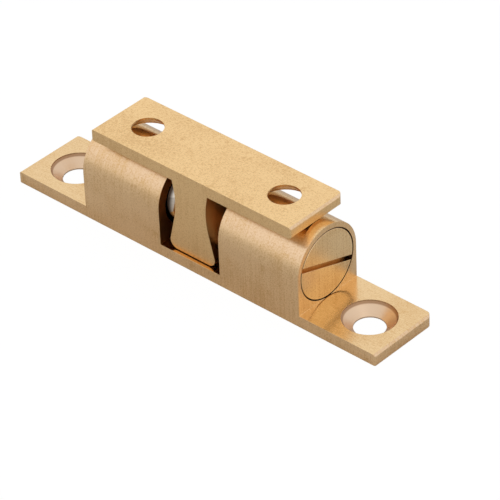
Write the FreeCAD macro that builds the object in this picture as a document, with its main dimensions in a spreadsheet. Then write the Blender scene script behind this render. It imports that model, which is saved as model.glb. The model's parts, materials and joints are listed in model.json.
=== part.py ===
import FreeCAD, Part
import os
import Sketcher

# Double ball catch. Millimetres. Origin: centre of the housing's underside.
# X runs along the housing, Y across it, Z up towards the door.
#
# The housing is one extruded D section, cut down to screw flanges at both ends and slotted
# across the middle. Each side of the slot holds a ball behind a turned-in lip, a spring, and
# an adjusting screw flush with the end face. The tongue of the strike plate drops into the
# slot, and the balls close in above its foot.

vec = FreeCAD.Vector
doc = FreeCAD.newDocument("BallCatch")

SIZES = {
    # housing section and outline
    "base_length": 66.0,
    "housing_width": 11.7,
    "base_thickness": 1.8,
    "tower_length": 39.6,
    "arch_centre_height": 7.4,
    "slot_width": 11.0,
    "edge_bevel": 0.3,
    "back_corner_radius": 0.9,
    "front_corner_radius": 0.25,
    # bores through the tower
    "bore_height": 7.1,
    "ball_diameter": 9.0,
    "ball_bore_clearance": 0.2,
    "lip_overlap": 0.15,
    "lip_thickness": 0.55,
    "lip_bevel": 0.1,
    # adjusting screws
    "screw_diameter": 10.5,
    "screw_clearance": 0.08,
    "screw_length": 5.0,
    "screw_travel": 1.0,
    "thread_runout": 0.4,
    "screw_bevel": 0.15,
    "driver_slot_width": 0.75,
    "driver_slot_depth": 1.0,
    "driver_slot_tilt": 18.0,
    "cup_diameter": 7.0,
    "cup_depth": 3.0,
    # springs
    "spring_diameter": 5.4,
    "spring_wire": 0.6,
    "spring_turns": 3.0,
    "spring_seat_gap": 0.05,
    # fixing holes of the housing
    "base_hole_spacing": 54.2,
    "base_hole_diameter": 4.5,
    "base_mouth_diameter": 7.7,
    "base_mouth_wall": 0.2,
    "base_cone_depth": 1.4,
    # strike plate
    "strike_length": 36.5,
    "strike_width": 10.5,
    "strike_thickness": 1.8,
    "strike_seat_gap": 0.05,
    "strike_hole_spacing": 25.0,
    "strike_hole_diameter": 4.6,
    "strike_mouth_diameter": 7.4,
    "strike_mouth_wall": 0.1,
    "strike_cone_depth": 1.4,
    # tongue of the strike plate
    "tongue_root_width": 6.5,
    "tongue_waist_width": 5.0,
    "tongue_waist_depth": 3.6,
    "tongue_waist_radius": 12.0,
    "tongue_foot_width": 8.2,
    "tongue_foot_height": 1.3,
    "tongue_foot_radius": 1.2,
    "tongue_floor_gap": 0.15,
    "tongue_ball_gap": 0.1,
}

sheet = doc.addObject("Spreadsheet::Sheet", "Sizes")
for row, (alias, number) in enumerate(SIZES.items(), start=1):
    sheet.set(f"A{row}", alias)
    sheet.set(f"B{row}", str(number))
    sheet.setAlias(f"B{row}", alias)
doc.recompute()

# Lengths that follow from the sheet, written as expressions.
HALF_BASE = "Sizes.base_length / 2"
HALF_WIDTH = "Sizes.housing_width / 2"
HALF_TOWER = "Sizes.tower_length / 2"
HALF_SLOT = "Sizes.slot_width / 2"
TOWER_TOP = f"(Sizes.arch_centre_height + {HALF_WIDTH})"
BALL = "Sizes.ball_diameter / 2"
BALL_BORE = f"({BALL} + Sizes.ball_bore_clearance)"
LIP = f"({BALL} - Sizes.lip_overlap)"
SCREW = "Sizes.screw_diameter / 2"
SCREW_BORE = f"({SCREW} + Sizes.screw_clearance)"
SCREW_SEAT = (
    f"({HALF_TOWER} - Sizes.screw_length - Sizes.screw_travel - Sizes.thread_runout)"
)
PLATE_UNDER = f"({TOWER_TOP} + Sizes.strike_seat_gap)"
PLATE_TOP = f"({PLATE_UNDER} + Sizes.strike_thickness)"
HALF_STRIKE = "Sizes.strike_length / 2"
HALF_STRIKE_WIDTH = "Sizes.strike_width / 2"
HALF_ROOT = "Sizes.tongue_root_width / 2"
HALF_WAIST = "Sizes.tongue_waist_width / 2"
HALF_FOOT = "Sizes.tongue_foot_width / 2"
WAIST_HEIGHT = f"({PLATE_UNDER} - Sizes.tongue_waist_depth)"
FOOT_BOTTOM = "(Sizes.base_thickness + Sizes.tongue_floor_gap)"
FOOT_TOP = f"({FOOT_BOTTOM} + Sizes.tongue_foot_height)"
FLANK_SLOPE = f"(({HALF_FOOT} - {HALF_WAIST}) / ({WAIST_HEIGHT} - {FOOT_TOP}))"
# The ball stands off the sloping flank of the tongue, measured square to the flank.
BALL_PLACE = (
    f"({HALF_WAIST} + {FLANK_SLOPE} * ({WAIST_HEIGHT} - Sizes.bore_height)"
    f" + ({BALL} + Sizes.tongue_ball_gap) * sqrt(1 + {FLANK_SLOPE} ^ 2))"
)
COIL = "Sizes.spring_diameter / 2"
WIRE = "Sizes.spring_wire / 2"
# The first coil rests on the ball's shoulder by the inner edge of its wire, and the last on
# the floor of the screw's cup.
COIL_START = (
    f"({BALL_PLACE} + {WIRE}"
    f" + sqrt(({BALL} + Sizes.spring_seat_gap) ^ 2 - ({COIL} - {WIRE}) ^ 2))"
)
COIL_END = (
    f"({HALF_TOWER} - Sizes.screw_length + Sizes.cup_depth - {WIRE} - Sizes.spring_seat_gap)"
)


def value(expression):
    """Number that an expression over the sheet gives now."""
    return float(sheet.evalExpression(expression))


def origin_plane(body, role):
    return next(f for f in body.Origin.OriginFeatures if f.Role == role)


def new_sketch(body, name, role):
    sketch = body.newObject("Sketcher::SketchObject", name)
    sketch.AttachmentSupport = [(origin_plane(body, role), "")]
    sketch.MapMode = "FlatFace"
    return sketch


def tie(sketch, kind, geometry, point, expression):
    """Bind one coordinate of a sketch point to an expression, or to an axis where it is zero."""
    axis = {"DistanceX": -2, "DistanceY": -1}[kind]
    if expression == "0":
        sketch.addConstraint(Sketcher.Constraint("PointOnObject", geometry, point, axis))
        return
    index = sketch.addConstraint(Sketcher.Constraint(kind, geometry, point, value(expression)))
    sketch.setExpression(f"Constraints[{index}]", expression)


def draw_loop(sketch, corners, arcs=None):
    """Closed outline through corners of (x, y) expressions.

    arcs maps the number of the side that starts at a corner to (centre x, centre y, radius,
    counter-clockwise), and every other side is straight. An arc of half a turn is held by its
    centre and the heights of its ends."""
    arcs = arcs or {}
    points = [vec(value(x), value(y), 0) for x, y in corners]
    count = len(points)
    half_turns = [
        i
        for i, arc in arcs.items()
        if points[i].distanceToPoint(points[(i + 1) % count]) > 1.99 * value(arc[2])
    ]
    sides = []
    for i, start in enumerate(points):
        end = points[(i + 1) % count]
        if i not in arcs:
            sides.append((sketch.addGeometry(Part.LineSegment(start, end), False), 1, 2))
            continue
        centre_x, centre_y, radius, anticlockwise = arcs[i]
        centre = vec(value(centre_x), value(centre_y), 0)
        circle = Part.Circle(centre, vec(0, 0, 1), value(radius))
        first, last = (start, end) if anticlockwise else (end, start)
        curve = Part.ArcOfCircle(circle, circle.parameter(first), circle.parameter(last))
        side = sketch.addGeometry(curve, False)
        sides.append((side, 1, 2) if anticlockwise else (side, 2, 1))
    for i, (side, start_point, end_point) in enumerate(sides):
        following, following_start, _ = sides[(i + 1) % count]
        sketch.addConstraint(
            Sketcher.Constraint("Coincident", side, end_point, following, following_start)
        )
        x, y = corners[i]
        if i not in half_turns and (i - 1) % count not in half_turns:
            tie(sketch, "DistanceX", side, start_point, x)
        tie(sketch, "DistanceY", side, start_point, y)
        if i in half_turns:
            # point 3 of an arc is its centre
            tie(sketch, "DistanceX", side, 3, arcs[i][0])
            tie(sketch, "DistanceY", side, 3, arcs[i][1])
        if i in arcs:
            radius = arcs[i][2]
            index = sketch.addConstraint(Sketcher.Constraint("Radius", side, value(radius)))
            sketch.setExpression(f"Constraints[{index}]", radius)


def feature(body, kind, name, sketch, volume_grows, **settings):
    """Sketch-based feature, checked to have changed the body's volume the right way."""
    before = body.Shape.Volume if body.Tip else 0.0
    made = body.newObject(f"PartDesign::{kind}", name)
    made.Profile = sketch
    for key, setting in settings.items():
        setattr(made, key, setting)
    sketch.Visibility = False
    doc.recompute()
    grown = made.Shape.Volume - before
    if (grown > 0) != volume_grows or not made.Shape.isValid():
        raise RuntimeError(f"{body.Label}: {name} changed the volume by {grown:.3f}")
    return made


def turned(body, kind, name, sketch, axis):
    """Revolution or Groove of a half profile, a full turn about the sketch's own axis."""
    return feature(
        body, kind, name, sketch, kind == "Revolution", ReferenceAxis=(sketch, [axis]), Angle=360
    )


def cut_through(body, name, sketch):
    return feature(body, "Pocket", name, sketch, False, Type=1, Midplane=True)


def mirror(body, name, features):
    """Repeat features on the other side of the body's own YZ plane."""
    made = body.newObject("PartDesign::Mirrored", name)
    made.Originals = features
    made.MirrorPlane = (origin_plane(body, "YZ_Plane"), [""])
    body.Tip = made
    doc.recompute()
    return made


def round_plan_corners(body, name, half_length, half_width):
    """Cut the four upright corners of a plate: tight in front, softer behind."""
    sketch = new_sketch(body, name + "_sketch", "XY_Plane")
    for side in ("", "-"):
        for face, radius in (("", "Sizes.back_corner_radius"), ("-", "Sizes.front_corner_radius")):
            x, y = f"{side}({half_length})", f"{face}({half_width})"
            inner_x = f"{side}({half_length} - {radius})"
            inner_y = f"{face}({half_width} - {radius})"
            draw_loop(
                sketch,
                [(inner_x, y), (x, y), (x, inner_y)],
                {2: (inner_x, inner_y, radius, side == face)},
            )
    return cut_through(body, name, sketch)


def round_edges(body, name, radius, wanted):
    """Fillet on the edges of the tip that wanted() picks by their geometry."""
    base = body.Tip
    names = [f"Edge{i}" for i, edge in enumerate(base.Shape.Edges, start=1) if wanted(edge)]
    made = body.newObject("PartDesign::Fillet", name)
    made.Base = (base, names)
    made.setExpression("Radius", radius)
    doc.recompute()
    return made


def runs_across(edge, half_width, height):
    """True for a straight edge along Y at this distance from the middle and this height."""
    ends = [vertex.Point for vertex in edge.Vertexes]
    tolerance = 0.001
    return (
        len(ends) == 2
        and abs(ends[0].x - ends[1].x) < tolerance
        and all(
            abs(abs(p.x) - half_width) < tolerance and abs(p.z - height) < tolerance for p in ends
        )
    )


# The housing.
housing = doc.addObject("PartDesign::Body", "housing")

section = new_sketch(housing, "section", "YZ_Plane")
draw_loop(
    section,
    [
        (f"-{HALF_WIDTH}", "0"),
        (HALF_WIDTH, "0"),
        (HALF_WIDTH, "Sizes.arch_centre_height"),
        (f"-{HALF_WIDTH}", "Sizes.arch_centre_height"),
    ],
    {2: ("0", "Sizes.arch_centre_height", HALF_WIDTH, True)},
)
bar = feature(housing, "Pad", "bar", section, True, Midplane=True)
bar.setExpression("Length", "Sizes.base_length")
doc.recompute()

# Side view: both ends come down to flanges, and the slot is cut to the same level.
side_view = new_sketch(housing, "side_view", "XZ_Plane")
for side in ("", "-"):
    draw_loop(
        side_view,
        [
            (f"{side}{HALF_TOWER}", "Sizes.base_thickness"),
            (f"{side}({HALF_BASE} - Sizes.edge_bevel)", "Sizes.base_thickness"),
            (f"{side}{HALF_BASE}", "Sizes.base_thickness - Sizes.edge_bevel"),
            (f"{side}{HALF_BASE}", TOWER_TOP),
            (f"{side}{HALF_TOWER}", TOWER_TOP),
        ],
    )
draw_loop(
    side_view,
    [
        (f"-{HALF_SLOT}", "Sizes.base_thickness"),
        (HALF_SLOT, "Sizes.base_thickness"),
        (HALF_SLOT, TOWER_TOP),
        (f"-{HALF_SLOT}", TOWER_TOP),
    ],
)
cut_through(housing, "flanges_and_slot", side_view)
round_plan_corners(housing, "plan_corners", HALF_BASE, HALF_WIDTH)

# Bore from the end face: the screw's thread, the ball's bore, and the lip that keeps the ball.
bore_profile = new_sketch(housing, "bore_profile", "XZ_Plane")
bore_profile.setExpression("AttachmentOffset.Base.y", "Sizes.bore_height")
doc.recompute()
draw_loop(
    bore_profile,
    [
        (HALF_SLOT, "0"),
        (HALF_SLOT, f"{LIP} + Sizes.lip_bevel"),
        (f"{HALF_SLOT} + Sizes.lip_bevel", LIP),
        (f"{HALF_SLOT} + Sizes.lip_thickness", LIP),
        (f"{HALF_SLOT} + Sizes.lip_thickness", BALL_BORE),
        (SCREW_SEAT, BALL_BORE),
        (SCREW_SEAT, SCREW_BORE),
        (HALF_TOWER, SCREW_BORE),
        (HALF_TOWER, "0"),
    ],
)
bore = turned(housing, "Groove", "bore", bore_profile, "H_Axis")

hole_profile = new_sketch(housing, "hole_profile", "XZ_Plane")
hole_profile.setExpression("AttachmentOffset.Base.x", "Sizes.base_hole_spacing / 2")
doc.recompute()
MOUTH_EDGE = "(Sizes.base_thickness - Sizes.base_mouth_wall)"
draw_loop(
    hole_profile,
    [
        ("0", "0"),
        ("Sizes.base_hole_diameter / 2", "0"),
        ("Sizes.base_hole_diameter / 2", f"{MOUTH_EDGE} - Sizes.base_cone_depth"),
        ("Sizes.base_mouth_diameter / 2", MOUTH_EDGE),
        ("Sizes.base_mouth_diameter / 2", "Sizes.base_thickness"),
        ("0", "Sizes.base_thickness"),
    ],
)
fixing_hole = turned(housing, "Groove", "fixing_hole", hole_profile, "V_Axis")
mirror(housing, "other_half", [bore, fixing_hole])

# The strike plate: plate and tongue are one profile, as wide as the plate.
strike = doc.addObject("PartDesign::Body", "strike_plate")

strike_profile = new_sketch(strike, "strike_profile", "XZ_Plane")
right_side = [
    (HALF_FOOT, FOOT_BOTTOM),
    (HALF_FOOT, FOOT_TOP),
    (HALF_WAIST, WAIST_HEIGHT),
    (HALF_ROOT, PLATE_UNDER),
    (f"({HALF_STRIKE} - Sizes.edge_bevel)", PLATE_UNDER),
    (HALF_STRIKE, f"{PLATE_UNDER} + Sizes.edge_bevel"),
    (HALF_STRIKE, f"{PLATE_TOP} - Sizes.edge_bevel"),
    (f"({HALF_STRIKE} - Sizes.edge_bevel)", PLATE_TOP),
]
left_side = [(f"-{x}", z) for x, z in reversed(right_side)]
draw_loop(strike_profile, right_side + left_side)
bar = feature(strike, "Pad", "strike_bar", strike_profile, True, Midplane=True)
bar.setExpression("Length", "Sizes.strike_width")
doc.recompute()

round_plan_corners(strike, "plate_corners", HALF_STRIKE, HALF_STRIKE_WIDTH)
round_edges(
    strike,
    "foot_corners",
    "Sizes.tongue_foot_radius",
    lambda edge: runs_across(edge, value(HALF_FOOT), value(FOOT_BOTTOM)),
)
round_edges(
    strike,
    "waist",
    "Sizes.tongue_waist_radius",
    lambda edge: runs_across(edge, value(HALF_WAIST), value(WAIST_HEIGHT)),
)

strike_hole_profile = new_sketch(strike, "strike_hole_profile", "XZ_Plane")
strike_hole_profile.setExpression("AttachmentOffset.Base.x", "Sizes.strike_hole_spacing / 2")
doc.recompute()
CONE_EDGE = f"({PLATE_UNDER} + Sizes.strike_mouth_wall)"
draw_loop(
    strike_hole_profile,
    [
        ("0", PLATE_UNDER),
        ("Sizes.strike_mouth_diameter / 2", PLATE_UNDER),
        ("Sizes.strike_mouth_diameter / 2", CONE_EDGE),
        ("Sizes.strike_hole_diameter / 2", f"{CONE_EDGE} + Sizes.strike_cone_depth"),
        ("Sizes.strike_hole_diameter / 2", PLATE_TOP),
        ("0", PLATE_TOP),
    ],
)
strike_hole = turned(strike, "Groove", "strike_hole", strike_hole_profile, "V_Axis")
mirror(strike, "other_strike_hole", [strike_hole])


# Balls, springs and screws, one of each in either bore.
def make_ball(label, side):
    ball = doc.addObject("Part::Sphere", label)
    ball.setExpression("Radius", BALL)
    ball.setExpression("Placement.Base.x", f"{side}{BALL_PLACE}")
    ball.setExpression("Placement.Base.z", "Sizes.bore_height")
    return ball


def place_on_bore(body, place, half_turn, tilt):
    """Seat a body, modelled about its own X axis, on the axis of a bore."""
    body.setExpression("Placement.Base.x", place)
    body.setExpression("Placement.Base.z", "Sizes.bore_height")
    facing = FreeCAD.Rotation(vec(0, 0, 1), half_turn)
    body.Placement.Rotation = facing.multiply(FreeCAD.Rotation(vec(1, 0, 0), tilt))


def make_screw(label, side, half_turn, tilt):
    """Slotted screw with a spring cup in its inner end, its head face at X = 0."""
    body = doc.addObject("PartDesign::Body", label)
    profile = new_sketch(body, label + "_profile", "XZ_Plane")
    cup = "Sizes.cup_diameter / 2"
    inner = "-Sizes.screw_length"
    floor = "(Sizes.cup_depth - Sizes.screw_length)"
    draw_loop(
        profile,
        [
            ("0", "0"),
            ("0", f"{SCREW} - Sizes.screw_bevel"),
            ("-Sizes.screw_bevel", SCREW),
            (f"{inner} + Sizes.screw_bevel", SCREW),
            (inner, f"{SCREW} - Sizes.screw_bevel"),
            (inner, cup),
            (floor, cup),
            (floor, "0"),
        ],
    )
    turned(body, "Revolution", label + "_blank", profile, "H_Axis")
    slot = new_sketch(body, label + "_slot", "XZ_Plane")
    half_slot = "Sizes.driver_slot_width / 2"
    draw_loop(
        slot,
        [
            ("-Sizes.driver_slot_depth", f"-{half_slot}"),
            ("0", f"-{half_slot}"),
            ("0", half_slot),
            ("-Sizes.driver_slot_depth", half_slot),
        ],
    )
    cut_through(body, label + "_driver_slot", slot)
    place_on_bore(body, f"{side}{HALF_TOWER}", half_turn, tilt)
    return body


def make_spring(label, half_turn):
    """Open compression spring of square wire, from the ball's shoulder to the cup's floor."""
    body = doc.addObject("PartDesign::Body", label)
    profile = new_sketch(body, label + "_wire", "XZ_Plane")
    near, far = f"({COIL_START} - {WIRE})", f"({COIL_START} + {WIRE})"
    inside, outside = f"({COIL} - {WIRE})", f"({COIL} + {WIRE})"
    draw_loop(profile, [(near, inside), (far, inside), (far, outside), (near, outside)])
    doc.recompute()
    coil = body.newObject("PartDesign::AdditiveHelix", label + "_coil")
    coil.Profile = profile
    coil.ReferenceAxis = (profile, ["H_Axis"])
    coil.Mode = "height-turns-angle"
    coil.setExpression("Height", f"{COIL_END} - {COIL_START}")
    coil.setExpression("Turns", "Sizes.spring_turns")
    profile.Visibility = False
    doc.recompute()
    place_on_bore(body, "0", half_turn, 0)
    return body


nodes = [
    housing,
    strike,
    make_ball("left_ball", "-"),
    make_ball("right_ball", ""),
    make_spring("left_spring", 180),
    make_spring("right_spring", 0),
    make_screw("left_adjusting_screw", "-", 180, value("Sizes.driver_slot_tilt")),
    make_screw("right_adjusting_screw", "", 0, value("-Sizes.driver_slot_tilt")),
]
doc.recompute()

for thing in doc.Objects:
    if any(word in thing.State for word in ("Invalid", "Error")):
        raise RuntimeError(f"{thing.Name} failed: {thing.State}")
for node in nodes:
    if node.Shape.isNull() or not node.Shape.isValid() or len(node.Shape.Solids) != 1:
        raise RuntimeError(f"{node.Label} isn't one valid solid")

os.makedirs("parts", exist_ok=True)
for node in nodes:
    node.Shape.exportStep(f"parts/{node.Label}.step")
    box = node.Shape.BoundBox
    print(
        f"{node.Label}: {node.Shape.Volume:.2f} mm3,"
        f" X {box.XMin:.2f}..{box.XMax:.2f}, Y {box.YMin:.2f}..{box.YMax:.2f},"
        f" Z {box.ZMin:.2f}..{box.ZMax:.2f}"
    )
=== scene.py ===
import json
import math
from collections import namedtuple

import bpy
from mathutils import Matrix, Vector


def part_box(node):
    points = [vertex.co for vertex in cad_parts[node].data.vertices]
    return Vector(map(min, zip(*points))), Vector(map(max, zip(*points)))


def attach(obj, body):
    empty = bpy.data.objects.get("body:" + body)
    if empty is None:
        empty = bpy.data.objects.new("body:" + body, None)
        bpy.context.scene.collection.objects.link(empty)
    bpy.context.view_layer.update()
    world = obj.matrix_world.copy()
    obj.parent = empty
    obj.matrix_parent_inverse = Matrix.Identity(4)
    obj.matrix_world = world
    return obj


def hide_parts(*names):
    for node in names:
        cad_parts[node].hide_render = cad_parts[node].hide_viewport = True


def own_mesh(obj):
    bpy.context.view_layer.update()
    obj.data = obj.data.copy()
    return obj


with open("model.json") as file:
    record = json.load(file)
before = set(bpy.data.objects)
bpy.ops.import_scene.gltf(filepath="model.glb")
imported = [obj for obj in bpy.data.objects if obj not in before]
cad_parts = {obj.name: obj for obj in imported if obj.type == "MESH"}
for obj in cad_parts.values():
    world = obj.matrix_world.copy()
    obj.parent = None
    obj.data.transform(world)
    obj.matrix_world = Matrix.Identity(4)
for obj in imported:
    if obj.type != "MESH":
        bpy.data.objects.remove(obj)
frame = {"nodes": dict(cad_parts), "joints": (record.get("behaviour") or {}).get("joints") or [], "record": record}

bl_info = {
    "name": "Ball Catch Finish",
    "version": (1, 0, 0),
    "blender": (4, 5, 0),
    "location": "3D View > Sidebar > Ball Catch",
    "description": "Brass finishes, springs and studio for a double ball catch",
    "category": "Object",
}

MM = 0.001
SIDES = {"left": -1, "right": 1}
JOINTS = {joint["name"]: joint for joint in frame["joints"]}
MOUNTS = {mount["name"]: mount for mount in frame["record"]["mounts"]}

HOUSING_LOW, HOUSING_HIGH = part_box("housing")
SPRING_LOW, SPRING_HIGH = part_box("right_spring")
SCREW_LOW, SCREW_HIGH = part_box("right_adjusting_screw")
STRIKE_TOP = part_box("strike_plate")[1].z
BORE_HEIGHT = (SCREW_LOW.z + SCREW_HIGH.z) / 2

# Places in the solids that the finishes follow, in millimetres.
BASE_THICKNESS = 1.8
BASE_MOUTH_RADIUS = 3.85
STRIKE_THICKNESS = 1.8
STRIKE_UNDERSIDE = STRIKE_TOP / MM - STRIKE_THICKNESS
FRONT = HOUSING_HIGH.y / MM
SLOT_HALF = 5.5
LIP_RADIUS = 4.35
SCREW_GAP = 0.08
BORE_RADIUS = (SCREW_HIGH.z - SCREW_LOW.z) / 2 / MM + SCREW_GAP
SCREW_END = SCREW_HIGH.x / MM

# Where painted shade, and the balls' painted dark rim, start and where they are full, in millimetres.
SLOT_PAINT = (SLOT_HALF + 0.05, SLOT_HALF)
FRONT_PAINT = (FRONT, FRONT - 0.1)
BASE_PAINT = (BASE_THICKNESS - 0.1, BASE_THICKNESS)
LIP_PAINT = (LIP_RADIUS + 0.16, LIP_RADIUS + 0.10)
BEHIND_LIP = (SLOT_HALF + 0.1, SLOT_HALF + 0.2)
BORE_PAINT = (BORE_RADIUS + 0.06, BORE_RADIUS + 0.02)
BORE_END_PAINT = (SCREW_END, SCREW_END - 0.05)
TONGUE_PAINT = (STRIKE_UNDERSIDE, STRIKE_UNDERSIDE - 0.05)
SUNK_PAINT = (SCREW_END - 0.02, SCREW_END - 0.06)
SCREW_SIDE_PAINT = (5.05, 5.15)
BALL_RING_PAINT = (3.45, 3.85)

# Depth of the painted shade: dark brass, near black, and the screws' driver slots.
DARK, BLACK = 1, 2
DRIVER_DEPTH = 0.5

# Countersinks, in millimetres: the height of the painted shade on their upright edge, and how far its paint fades.
MOUTH_SHADE = 0.45
SHADE_FADE = 0.08
MOUTH_FADE = 0.03
ABOVE_TOP, BELOW_TOP = 0.01, 0.04

# Cells of noise per millimetre: along the brushing of the sides, along that of the top,
# along X, Y and Z for clouds and spots, across a turned cut, and in steel.
BRUSH_STRETCH = 0.11
TOP_STRETCH = 0.8
CLOUD_CELLS = (0.11, 0.16, 0.2)
SPOT_CELLS = (0.55, 0.55, 0.45)
TURNING_CELLS = 7.0
STEEL_CELLS = 1.6

# The top's brushing is this many times as fine as the sides'.
TOP_FINENESS = 1.5

# Detail and roughness of the noise.
BRUSHED = (3.0, 0.6)
GRITTY = (3.0, 0.75)
ROLLED = (4.0, 0.7)

# Shares of a face's direction, up or along X, between which it counts as level, on an end,
# in the painted highlight band, or a side of the tongue.
LEVEL = (0.80, 0.98)
ENDWAYS = (0.4, 0.6)
HIGHLIGHT_STARTS = (0.30, 0.60)
HIGHLIGHT_STOPS = (0.92, 0.70)
TONGUE_SIDE = (0.5, 0.7)

# Heights of the noise between which spots, speckles and the steel's marks appear.
SPOT_EDGE = (0.60, 0.78)
SPECKLE_EDGE = (0.42, 0.72)
ROLLED_EDGE = (0.35, 0.8)

# How much each kind of mark darkens the brass, and how dark it is without any.
MARK_SHADE, CLOUD_SHADE, SPOT_SHADE, PLAIN_SHADE = 2.8, 1.5, 0.7, 0.28
# Shares of the painted highlight band, the aged tone, the speckle, the turned rings and the painted shade at the
# countersinks' mouth.
HIGHLIGHT_SHARE, AGED_SHARE, FINE_SHARE = 0.75, 0.8, 0.46
RING_SHARE, MOUTH_SHARE = 0.35, 0.9

# How much of the fine speckle a level face without grit loses.
LEVEL_CALM = 1.4

# Tone of the steel's marks as a share of its colour.
ROLLED_TONE = 0.8

# Roughness of the brass, and what level faces and marks change in it.
BRASS_ROUGHNESS, LEVEL_POLISH, MARK_ROUGHNESS, CLOUD_ROUGHNESS = 0.32, 0.12, 0.18, 0.10
CUT_ROUGHNESS, RING_ROUGHNESS = 0.36, 0.12

# Strength of the relief, and samples for the softened edges.
BUMP_STRENGTH = 0.35
EDGE_SAMPLES = 4

# Coils: points in each turn and sides of the wire.
COIL_POINTS = 32
WIRE_SIDES = 16

# Width and place of the soft lights, in metres.
KEY_BOX = (0.35, (-0.30, -0.32, 0.30))
FILL_BOX = (0.30, (0.45, -0.10, 0.30))

# The floor lies just under the housing, and is nearly white where the camera sees it.
FLOOR_DROP = 0.02 * MM
FLOOR_GLOW = 1.05
FLOOR_WHITENESS = 0.92
WHITE = (1, 1, 1, 1)

# The photograph's camera, fitted to edges measured in its 500 x 500 picture.
PICTURE_SIZE = 500
FOCAL_PIXELS = 3474.9
CAMERA_AZIMUTH, CAMERA_ELEVATION, CAMERA_ROLL = 43.697, 36.328, -2.511
CAMERA_AIM = Vector((48.328, -44.565, 48.149)) * MM
CAMERA_DISTANCE = 394.793 * MM
CAMERA_CLIP = (0.01, 10.0)

# Numbers of a colour mix's sockets: factor, first and second colour, and result.
MIX_INPUTS = (0, 6, 7)
MIX_RESULT = 2

# A place in millimetres, and how far the surface there faces along X.
Place = namedtuple("Place", "x y z across")


# Nodes

def add_node(tree, kind, values=None, **settings):
    """Add a node with its settings and inputs; a value that is a socket is linked."""
    made = tree.nodes.new(kind)
    for key, setting in settings.items():
        setattr(made, key, setting)
    for key, value in (values or {}).items():
        if isinstance(value, bpy.types.NodeSocket):
            tree.links.new(value, made.inputs[key])
        else:
            made.inputs[key].default_value = value
    return made


class Term:
    """A shader socket that takes part in plain arithmetic."""

    def __init__(self, finish, socket):
        self.finish, self.socket = finish, socket

    def __add__(self, other):
        return self.finish.math("ADD", self, other)

    def __sub__(self, other):
        return self.finish.math("SUBTRACT", self, other)

    def __rsub__(self, other):
        return self.finish.math("SUBTRACT", other, self)

    def __mul__(self, other):
        return self.finish.math("MULTIPLY", self, other)

    def __abs__(self):
        return self.finish.math("ABSOLUTE", self)

    __radd__ = __add__

    def squared(self):
        return self * self

    def root(self):
        return self.finish.math("SQRT", self)

    def centred(self):
        """Noise about 0 in place of about 0.5."""
        return self - 0.5

    def ramp(self, start, end):
        """0 before start and 1 after end, eased between; the other way round if end is less."""
        values = {
            "Value": self, "From Min": min(start, end), "From Max": max(start, end),
            "To Min": float(start > end), "To Max": float(start < end),
        }
        return self.finish.node(
            "ShaderNodeMapRange", values, "Result", interpolation_type="SMOOTHSTEP"
        )


class Finish:
    """A node material that is built from expressions."""

    def __init__(self, name):
        self.material = bpy.data.materials.new(name)
        self.material.use_nodes = True
        self.tree = self.material.node_tree
        self.tree.nodes.clear()

    def node(self, kind, values=None, output=0, **settings):
        given = {
            key: value.socket if isinstance(value, Term) else value
            for key, value in (values or {}).items()
        }
        return Term(self, add_node(self.tree, kind, given, **settings).outputs[output])

    def math(self, operation, *values):
        return self.node("ShaderNodeMath", dict(enumerate(values)), operation=operation)

    def place(self, *scale):
        """Object coordinates in millimetres, stretched by scale."""
        values = {
            "Vector": self.node("ShaderNodeTexCoord", output="Object"),
            "Scale": [factor / MM for factor in scale],
        }
        return self.node("ShaderNodeMapping", values, vector_type="POINT")

    def axes(self, vector):
        """The three parts of a vector."""
        parts = add_node(self.tree, "ShaderNodeSeparateXYZ", {"Vector": vector.socket})
        return [Term(self, part) for part in parts.outputs]

    def noise(self, vector, detail=2.0, roughness=0.55):
        values = {"Vector": vector, "Scale": 1.0, "Detail": detail, "Roughness": roughness}
        return self.node("ShaderNodeTexNoise", values, "Fac", noise_dimensions="3D")

    def blend(self, factor, first, second):
        """Colour from first to second as factor goes from 0 to 1."""
        ends = [tone if isinstance(tone, Term) else tuple(tone) for tone in (first, second)]
        values = dict(zip(MIX_INPUTS, (factor, *ends)))
        return self.node("ShaderNodeMix", values, MIX_RESULT, data_type="RGBA")

    def close(self, shader):
        """Make the shader the material's surface, and give the material."""
        add_node(self.tree, "ShaderNodeOutputMaterial", {"Surface": shader.socket})
        return self.material

    def surface(self, **values):
        """Finish the material with a metal shader; underscores in names stand for spaces."""
        sockets = {name.replace("_", " "): value for name, value in values.items()}
        sockets["Metallic"] = 1.0
        return self.close(self.node("ShaderNodeBsdfPrincipled", sockets))


# Sizes and colours

def colour(name, default, description):
    return bpy.props.FloatVectorProperty(
        name=name, description=description, subtype="COLOR", size=4, min=0, max=1, default=default
    )


def measure(name, description, default, low, high):
    """Length that is given in millimetres and kept in metres."""
    return bpy.props.FloatProperty(
        name=name, description=description, default=default * MM, min=low * MM, max=high * MM,
        unit="LENGTH", precision=6,
    )


def number(name, description, default, low, high):
    return bpy.props.FloatProperty(
        name=name, description=description, default=default, min=low, max=high
    )


def power(name, description, default):
    return bpy.props.FloatProperty(
        name=name, description=description, default=default, min=0, unit="POWER"
    )


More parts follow.
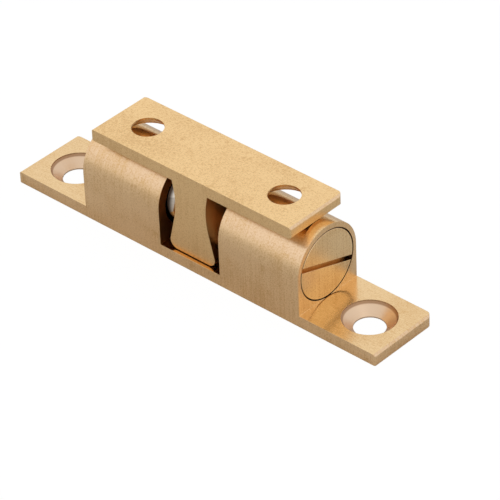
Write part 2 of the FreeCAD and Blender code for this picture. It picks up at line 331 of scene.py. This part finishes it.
class CatchColours(bpy.types.PropertyGroup):
    strike: colour("Strike brass", (0.95, 0.66, 0.33, 1), "Brass of the strike plate")
    body: colour("Housing brass", (0.95, 0.67, 0.38, 1), "Brass of the housing's sides")
    aged: colour("Aged brass", (0.74, 0.47, 0.21, 1), "Darker tone in grain, clouds and cuts")
    flange: colour("Flange brass", (0.90, 0.65, 0.36, 1), "Housing faces that look up")
    plug: colour("Screw brass", (0.97, 0.72, 0.40, 1), "Brass of the adjusting screws")
    # Pinker tint painted where the arch curves: a painted highlight band.
    highlight_band: colour("Worn brass", (0.82, 0.60, 0.41, 1), "Pinker band where the arch curves")
    cut: colour("Fresh cut", (0.80, 0.60, 0.44, 1), "Pinker brass in the countersinks")
    # Dark colour painted as shade on the countersinks' upright edge.
    painted_mouth_shade: colour("Mouth", (0.38, 0.21, 0.11, 1), "Upright edge of the countersinks")
    # Dark brass for the grit, and painted shade in slots, driver slots and on the tongue's sides.
    grit_and_shade: colour("Greasy brass", (0.58, 0.31, 0.11, 1), "Brass in slots, the tongue's sides and grit")
    # Near black painted as shade in bores and lip openings, and as dark rings round balls and screws.
    black_shade: colour("Grease", (0.06, 0.04, 0.03, 1), "Bores, and rings round balls and screws")
    ball: colour("Ball steel", (0.85, 0.77, 0.67, 1), "Polished balls")
    steel: colour("Steel", (0.72, 0.71, 0.69, 1), "Springs")
    floor: colour("Floor", (0.55, 0.54, 0.53, 1), "Pale floor")


class CatchGrain(bpy.types.PropertyGroup):
    pitch: number(
        "Grain lines per millimetre", "Fineness of the brushed grain", 3.2, 0.5, 10
    )
    speckle: number(
        "Speckles per millimetre", "Fineness of the grit on the top faces", 4.6, 0.5, 10
    )
    depth: measure("Grain depth", "Height of the brushed grain", 0.012, 0, 0.1)
    edge: measure("Edge softness", "Radius of the softened edges", 0.05, 0, 0.5)


class CatchSprings(bpy.types.PropertyGroup):
    wire: measure("Wire", "Diameter of the spring wire", 0.6, 0.2, 1.2)
    coil: measure("Coil", "Mean diameter of the spring", 5.4, 3, 8)
    turns: number("Turns", "Turns between the two ends", 3.0, 1, 12)


class CatchStudio(bpy.types.PropertyGroup):
    floor_width: bpy.props.FloatProperty(
        name="Floor", description="Width of the square floor", default=2.4, min=0.5,
        unit="LENGTH",
    )
    surround: number("Surround", "Brightness of the white surround", 0.92, 0, 3)
    key: power("Key light", "Power of the large soft light", 0.05)
    fill: power("Fill light", "Power of the soft side light", 0.12)


# Finishes

def brass(name, tone, grit_and_shade, upper=None, holes=(), grit=0.6):
    """Satin brass: upright brushing on the sides, a gritty top, cloudy tone, faint spots and a painted highlight
    band.

    The third argument takes a Place and gives DARK where painted shade darkens the brass and
    BLACK where painted shade makes it near black. upper is the tone of the faces that look up.
    holes lists (distance along X, mouth radius, top height) in millimetres of countersinks with
    a fresher, turned cut and painted shade on their upright edge.
    grit is the share of speckle in the top's marks."""
    colours, grain = bpy.context.scene.catch_colours, bpy.context.scene.catch_grain
    finish = Finish(name)
    facing = finish.axes(finish.node("ShaderNodeTexCoord", output="Normal"))
    across, tilt = abs(facing[0]), abs(facing[2])
    level = tilt.ramp(*LEVEL)
    endways = across.ramp(*ENDWAYS)
    x, y, z = finish.axes(finish.place(1.0, 1.0, 1.0))

    fine_pitch = grain.pitch * TOP_FINENESS
    round_arch = finish.noise(finish.place(grain.pitch, BRUSH_STRETCH, BRUSH_STRETCH), *BRUSHED)
    on_ends = finish.noise(finish.place(BRUSH_STRETCH, grain.pitch, BRUSH_STRETCH), *BRUSHED)
    upright = round_arch * (1 - endways) + on_ends * endways
    along = finish.noise(finish.place(TOP_STRETCH, fine_pitch, fine_pitch), *BRUSHED)
    speckle = finish.noise(finish.place(*[grain.speckle] * 3), *GRITTY)
    clouds = finish.noise(finish.place(*CLOUD_CELLS))
    spots = finish.noise(finish.place(*SPOT_CELLS), *BRUSHED).ramp(*SPOT_EDGE)
    on_side = upright * 0.5 + speckle * 0.5
    on_top = along * (1 - grit) + speckle * grit
    marks = on_side * (1 - level) + on_top * level

    darker = marks.centred() * MARK_SHADE + clouds.centred() * CLOUD_SHADE + spots * SPOT_SHADE
    # Painted highlight: a pinker band where the face turns between upright and level.
    highlight_band = tilt.ramp(*HIGHLIGHT_STARTS) * tilt.ramp(*HIGHLIGHT_STOPS)
    fine = speckle.ramp(*SPECKLE_EDGE) * (1 - level * (1 - grit) * LEVEL_CALM)
    base = finish.blend(level, tone, upper or tone)
    base = finish.blend(highlight_band * HIGHLIGHT_SHARE, base, colours.highlight_band)
    base = finish.blend((darker + PLAIN_SHADE).ramp(0.0, 1.0) * AGED_SHARE, base, colours.aged)
    base = finish.blend(fine * FINE_SHARE, base, colours.grit_and_shade)
    rough = (
        BRASS_ROUGHNESS - level * LEVEL_POLISH
        + marks.centred() * MARK_ROUGHNESS + clouds.centred() * CLOUD_ROUGHNESS
    )
    for distance, radius, top in holes:
        from_axis = ((abs(x) - distance).squared() + y.squared()).root()
        turned = {"X": from_axis * TURNING_CELLS, "Y": z * TURNING_CELLS}
        ring = finish.noise(finish.node("ShaderNodeCombineXYZ", turned))
        within = from_axis.ramp(radius + MOUTH_FADE, radius - MOUTH_FADE)
        inside = within * z.ramp(top + ABOVE_TOP, top - BELOW_TOP)
        # Painted shade: a dark band on the upright edge at the countersink's mouth.
        shade = top - MOUTH_SHADE
        wall_shade = z.ramp(shade - SHADE_FADE, shade + SHADE_FADE)
        cut = finish.blend(ring * RING_SHARE, colours.cut, colours.aged)
        cut = finish.blend(wall_shade * MOUTH_SHARE, cut, colours.painted_mouth_shade)
        base = finish.blend(inside, base, cut)
        cut_rough = CUT_ROUGHNESS + ring.centred() * RING_ROUGHNESS
        rough = rough * (1 - inside) + cut_rough * inside
        marks = marks * (1 - inside) + ring * inside
    # Painted shade: dark brass where the depth reaches DARK, near black towards BLACK.
    depth = grit_and_shade(Place(x, y, z, across))
    base = finish.blend(depth, base, colours.grit_and_shade)
    base = finish.blend(depth - DARK, base, colours.black_shade)
    bump = {
        "Height": marks, "Strength": BUMP_STRENGTH, "Distance": grain.depth,
        "Normal": finish.node("ShaderNodeBevel", {"Radius": grain.edge}, samples=EDGE_SAMPLES),
    }
    normal = finish.node("ShaderNodeBump", bump)
    return finish.surface(Base_Color=base, Roughness=rough, Normal=normal)


def steel(name, tone, roughness, scratch, ring=None):
    """Steel with faint rolling marks: polished for the balls, drawn for the spring wire.

    ring is the pair of distances from the bore's axis between which it turns dark: a painted reflection of the
    dark bore."""
    finish = Finish(name)
    marks = finish.noise(finish.place(*[STEEL_CELLS] * 3), *ROLLED)
    base = finish.blend(marks.ramp(*ROLLED_EDGE), tone, [ROLLED_TONE * part for part in tone])
    # Painted reflection: the rim near the bore turns near black.
    if ring:
        _, y, z = finish.axes(finish.place(1.0, 1.0, 1.0))
        black_shade = bpy.context.scene.catch_colours.black_shade
        base = finish.blend(from_bore(y, z).ramp(*ring), base, black_shade)
    return finish.surface(Base_Color=base, Roughness=roughness + marks.centred() * scratch)


def from_bore(y, z):
    """Distance from the axis of the bores, in millimetres."""
    return (y.squared() + (z - BORE_HEIGHT / MM).squared()).root()


def dress(node, material):
    """Put the material in every slot of a solid of the frame."""
    slots = frame["nodes"][node].material_slots
    for slot in slots:
        slot.material = material
    if not slots:
        raise RuntimeError(f"{node} has no material slot")


# Springs

def coil_tree():
    """Tree that winds an open coil about the X axis, from its start to start + length."""
    tree = bpy.data.node_groups.new("catch_coil", "GeometryNodeTree")
    sockets = {}
    for name, default in {
        "Start": 0.0, "Length": 4 * MM, "Turns": 2.0, "First angle": 0.0,
        "Coil radius": 2.7 * MM, "Wire radius": 0.3 * MM, "Height": 0.0, "Material": None,
    }.items():
        kind = "NodeSocketMaterial" if default is None else "NodeSocketFloat"
        socket = tree.interface.new_socket(name, in_out="INPUT", socket_type=kind)
        if default is not None:
            socket.default_value = default
        sockets[name] = socket.identifier
    tree.interface.new_socket("Coil", in_out="OUTPUT", socket_type="NodeSocketGeometry")
    given = tree.nodes.new("NodeGroupInput").outputs

    spiral = add_node(tree, "GeometryNodeCurveSpiral", {
        "Resolution": COIL_POINTS, "Rotations": given["Turns"], "Height": given["Length"],
        "Start Radius": given["Coil radius"], "End Radius": given["Coil radius"],
    })
    turn = add_node(tree, "ShaderNodeCombineXYZ", {"Z": given["First angle"]})
    turned = add_node(tree, "GeometryNodeTransform", {
        "Geometry": spiral.outputs["Curve"], "Rotation": turn.outputs["Vector"],
    })
    place = add_node(tree, "ShaderNodeCombineXYZ", {"X": given["Start"], "Z": given["Height"]})
    laid = add_node(tree, "GeometryNodeTransform", {
        "Geometry": turned.outputs["Geometry"], "Translation": place.outputs["Vector"],
        "Rotation": (0.0, math.pi / 2, 0.0),
    })
    section = add_node(tree, "GeometryNodeCurvePrimitiveCircle", {
        "Resolution": WIRE_SIDES, "Radius": given["Wire radius"],
    })
    wire = add_node(tree, "GeometryNodeCurveToMesh", {
        "Curve": laid.outputs["Geometry"], "Profile Curve": section.outputs["Curve"],
        "Fill Caps": True,
    })
    real = add_node(tree, "GeometryNodeRealizeInstances", {"Geometry": wire.outputs["Mesh"]})
    finished = add_node(tree, "GeometryNodeSetMaterial", {
        "Geometry": real.outputs["Geometry"], "Material": given["Material"],
    })
    add_node(tree, "NodeGroupOutput", {"Coil": finished.outputs["Geometry"]})
    return tree, sockets


def mesh_from_tree(name, tree, identifiers, values):
    """Keep what the tree makes from the values as a plain mesh object."""
    carrier = bpy.data.objects.new(name + "_carrier", bpy.data.meshes.new(name + "_carrier"))
    bpy.context.collection.objects.link(carrier)
    modifier = carrier.modifiers.new("tree", "NODES")
    modifier.node_group = tree
    for key, value in values.items():
        modifier[identifiers[key]] = value
    graph = bpy.context.evaluated_depsgraph_get()
    mesh = bpy.data.meshes.new_from_object(carrier.evaluated_get(graph), depsgraph=graph)
    carrier.modifiers.clear()
    bpy.data.objects.remove(carrier)
    mesh.name = name
    for polygon in mesh.polygons:
        polygon.use_smooth = True
    made = bpy.data.objects.new(name, mesh)
    bpy.context.collection.objects.link(made)
    return made


# Operators

class CATCH_OT_housing(bpy.types.Operator):
    """Give the housing its brushed brass"""

    bl_idname = "catch.housing"
    bl_label = "Housing"

    def execute(self, context):
        colours = context.scene.catch_colours
        spacing = MOUNTS["base_screws"]["dims"]["spacing_x_mm"]
        hole = (spacing / 2, BASE_MOUTH_RADIUS, BASE_THICKNESS)
        material = brass("housing_brass", colours.body, self.grit_and_shade, colours.flange, [hole])
        dress("housing", material)
        return {"FINISHED"}

    @staticmethod
    def grit_and_shade(place):
        """Painted shade: a dark slot above the base, black openings in its lips and black bores behind them."""
        x, radius = abs(place.x), from_bore(place.y, place.z)
        slot = x.ramp(*SLOT_PAINT) * abs(place.y).ramp(*FRONT_PAINT) * place.z.ramp(*BASE_PAINT)
        behind = x.ramp(*BEHIND_LIP)
        lip = radius.ramp(*LIP_PAINT) * (1 - behind)
        bore = radius.ramp(*BORE_PAINT) * behind * x.ramp(*BORE_END_PAINT)
        return slot * DARK + (lip + bore) * BLACK


class CATCH_OT_strike(bpy.types.Operator):
    """Give the strike plate its paler brass"""

    bl_idname = "catch.strike"
    bl_label = "Strike plate"

    def execute(self, context):
        tone = context.scene.catch_colours.strike
        dress("strike_plate", brass("strike_brass", tone, self.grit_and_shade, grit=0.9))
        return {"FINISHED"}

    @staticmethod
    def grit_and_shade(place):
        """Painted shade: dark sides of the tongue below the plate."""
        return place.across.ramp(*TONGUE_SIDE) * place.z.ramp(*TONGUE_PAINT) * DARK


class CATCH_OT_screws(bpy.types.Operator):
    """Give both adjusting screws their brass"""

    bl_idname = "catch.screws"
    bl_label = "Adjusting screws"

    def execute(self, context):
        material = brass("screw_brass", context.scene.catch_colours.plug, self.grit_and_shade)
        for side in SIDES:
            dress(f"{side}_adjusting_screw", material)
        return {"FINISHED"}

    @staticmethod
    def grit_and_shade(place):
        """Painted shade: half dark in the driver slot, black round the screw behind its end face."""
        side = from_bore(place.y, place.z).ramp(*SCREW_SIDE_PAINT)
        return abs(place.x).ramp(*SUNK_PAINT) * (DRIVER_DEPTH + side * (BLACK - DRIVER_DEPTH))


class CATCH_OT_balls(bpy.types.Operator):
    """Polish both balls"""

    bl_idname = "catch.balls"
    bl_label = "Balls"

    def execute(self, context):
        tone = context.scene.catch_colours.ball
        # The balls' rim gets a painted dark reflection of the bore.
        material = steel("ball_steel", tone, roughness=0.10, scratch=0.05, ring=BALL_RING_PAINT)
        for side in SIDES:
            dress(f"{side}_ball", material)
        return {"FINISHED"}


class CATCH_OT_springs(bpy.types.Operator):
    """Wind both springs; each is cut in two lengths, one for each end that moves"""

    bl_idname = "catch.springs"
    bl_label = "Springs"

    def execute(self, context):
        sizes = context.scene.catch_springs
        tone = context.scene.catch_colours.steel
        material = steel("spring_steel", tone, roughness=0.28, scratch=0.2)
        tree, identifiers = coil_tree()
        length = SPRING_HIGH.x - SPRING_LOW.x - sizes.wire
        start = SPRING_LOW.x + sizes.wire / 2
        for side, sign in SIDES.items():
            retreat = JOINTS[f"{side}_ball_retreat"]["range_m"][1]
            advance = JOINTS[f"{side}_screw_advance"]["range_m"][1]
            share = retreat / (retreat + advance)
            keep = 1 - (retreat + advance) / length
            cut = start + length * share
            for end, first, done, part, joint in (
                ("ball", start, 0.0, share, f"{side}_ball_retreat"),
                ("screw", cut, share, 1 - share, f"{side}_screw_advance"),
            ):
                values = {
                    "Start": first, "Length": length * part, "Turns": sizes.turns * part,
                    "First angle": 2 * math.pi * sizes.turns * done,
                    "Coil radius": sizes.coil / 2, "Wire radius": sizes.wire / 2,
                    "Height": BORE_HEIGHT, "Material": material,
                }
                coil = mesh_from_tree(f"{side}_spring_{end}_end", tree, identifiers, values)
                if sign < 0:
                    coil.data.transform(Matrix.Rotation(math.pi, 4, "Z"))
                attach(coil, f"{side}_spring")
                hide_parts(f"{side}_spring")
                sign * cut
                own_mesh(coil)
        return {"FINISHED"}


class CATCH_OT_studio(bpy.types.Operator):
    """Set up the pale floor, the white surround, the lights and the camera"""

    bl_idname = "catch.studio"
    bl_label = "Studio"

    def execute(self, context):
        studio = context.scene.catch_studio
        self.floor(context)
        self.surround(context)
        self.softbox("key_light", studio.key, *KEY_BOX)
        self.softbox("fill_light", studio.fill, *FILL_BOX)
        self.camera(context)
        context.scene.view_settings.view_transform = "Standard"
        return {"FINISHED"}

    def floor(self, context):
        """White to the camera, grey paper to everything else."""
        half = context.scene.catch_studio.floor_width / 2
        level = HOUSING_LOW.z - FLOOR_DROP
        square = [
            (-half, -half, level), (half, -half, level),
            (half, half, level), (-half, half, level),
        ]
        mesh = bpy.data.meshes.new("floor")
        mesh.from_pydata(square, [], [(0, 1, 2, 3)])
        floor = bpy.data.objects.new("floor", mesh)
        context.collection.objects.link(floor)
        finish = Finish("floor_paper")
        seen = finish.node("ShaderNodeLightPath", output="Is Camera Ray")
        tone = tuple(context.scene.catch_colours.floor)
        paper = finish.node("ShaderNodeBsdfDiffuse", {"Color": tone})
        white = finish.node("ShaderNodeEmission", {"Color": WHITE, "Strength": FLOOR_GLOW})
        both = finish.node("ShaderNodeMixShader", {0: seen * FLOOR_WHITENESS, 1: paper, 2: white})
        mesh.materials.append(finish.close(both))

    def surround(self, context):
        """White to the camera, at the surround's brightness to everything else."""
        world = bpy.data.worlds.new("surround")
        context.scene.world = world
        world.use_nodes = True
        tree = world.node_tree
        tree.nodes.clear()
        around, seen = (
            add_node(tree, "ShaderNodeBackground", {"Color": WHITE, "Strength": strength})
            for strength in (context.scene.catch_studio.surround, 1.0)
        )
        path = add_node(tree, "ShaderNodeLightPath")
        both = add_node(tree, "ShaderNodeMixShader", {
            0: path.outputs["Is Camera Ray"], 1: around.outputs[0], 2: seen.outputs[0],
        })
        add_node(tree, "ShaderNodeOutputWorld", {"Surface": both.outputs[0]})

    def softbox(self, name, strength, width, place):
        """Large soft light at place, turned to the housing's centre."""
        lamp = bpy.data.lights.new(name, "AREA")
        lamp.shape, lamp.size, lamp.energy = "SQUARE", width, strength
        made = bpy.data.objects.new(name, lamp)
        bpy.context.collection.objects.link(made)
        made.location = place
        towards = (HOUSING_LOW + HOUSING_HIGH) / 2 - Vector(place)
        made.rotation_euler = towards.to_track_quat("-Z", "Y").to_euler()

    def camera(self, context):
        lens = bpy.data.cameras.new("camera")
        lens.lens = lens.sensor_width * FOCAL_PIXELS / PICTURE_SIZE
        lens.clip_start, lens.clip_end = CAMERA_CLIP
        camera = bpy.data.objects.new("camera", lens)
        context.collection.objects.link(camera)
        turn = (
            Matrix.Rotation(math.radians(CAMERA_AZIMUTH), 4, "Z")
            @ Matrix.Rotation(math.radians(90 - CAMERA_ELEVATION), 4, "X")
            @ Matrix.Rotation(math.radians(CAMERA_ROLL), 4, "Z")
        )
        back = (turn @ Vector((0, 0, 1, 0))).to_3d()
        camera.matrix_world = Matrix.Translation(CAMERA_AIM + back * CAMERA_DISTANCE) @ turn
        context.scene.camera = camera


class CATCH_PT_panel(bpy.types.Panel):
    """Sidebar panel with the catch's pieces"""

    bl_label = "Ball Catch"
    bl_idname = "CATCH_PT_panel"
    bl_space_type = "VIEW_3D"
    bl_region_type = "UI"
    bl_category = "Ball Catch"

    def draw(self, context):
        for operator in OPERATORS:
            self.layout.operator(operator.bl_idname)
        for name in GROUPS:
            group = getattr(context.scene, name)
            box = self.layout.box()
            for key in group.bl_rna.properties.keys():
                if key not in ("rna_type", "name"):
                    box.prop(group, key)


OPERATORS = (
    CATCH_OT_studio, CATCH_OT_housing, CATCH_OT_strike, CATCH_OT_screws, CATCH_OT_balls,
    CATCH_OT_springs,
)
GROUPS = {
    "catch_colours": CatchColours, "catch_grain": CatchGrain, "catch_springs": CatchSprings,
    "catch_studio": CatchStudio,
}


def register():
    for group in GROUPS.values():
        bpy.utils.register_class(group)
    for name, group in GROUPS.items():
        setattr(bpy.types.Scene, name, bpy.props.PointerProperty(type=group))
    for item in OPERATORS + (CATCH_PT_panel,):
        bpy.utils.register_class(item)


def unregister():
    for item in reversed(OPERATORS + (CATCH_PT_panel,)):
        bpy.utils.unregister_class(item)
    for name, group in reversed(GROUPS.items()):
        delattr(bpy.types.Scene, name)
        bpy.utils.unregister_class(group)


def main():
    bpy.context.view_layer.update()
    register()
    for operator in OPERATORS:
        group, name = operator.bl_idname.split(".")
        getattr(getattr(bpy.ops, group), name)()


if __name__ == "__main__":
    main()
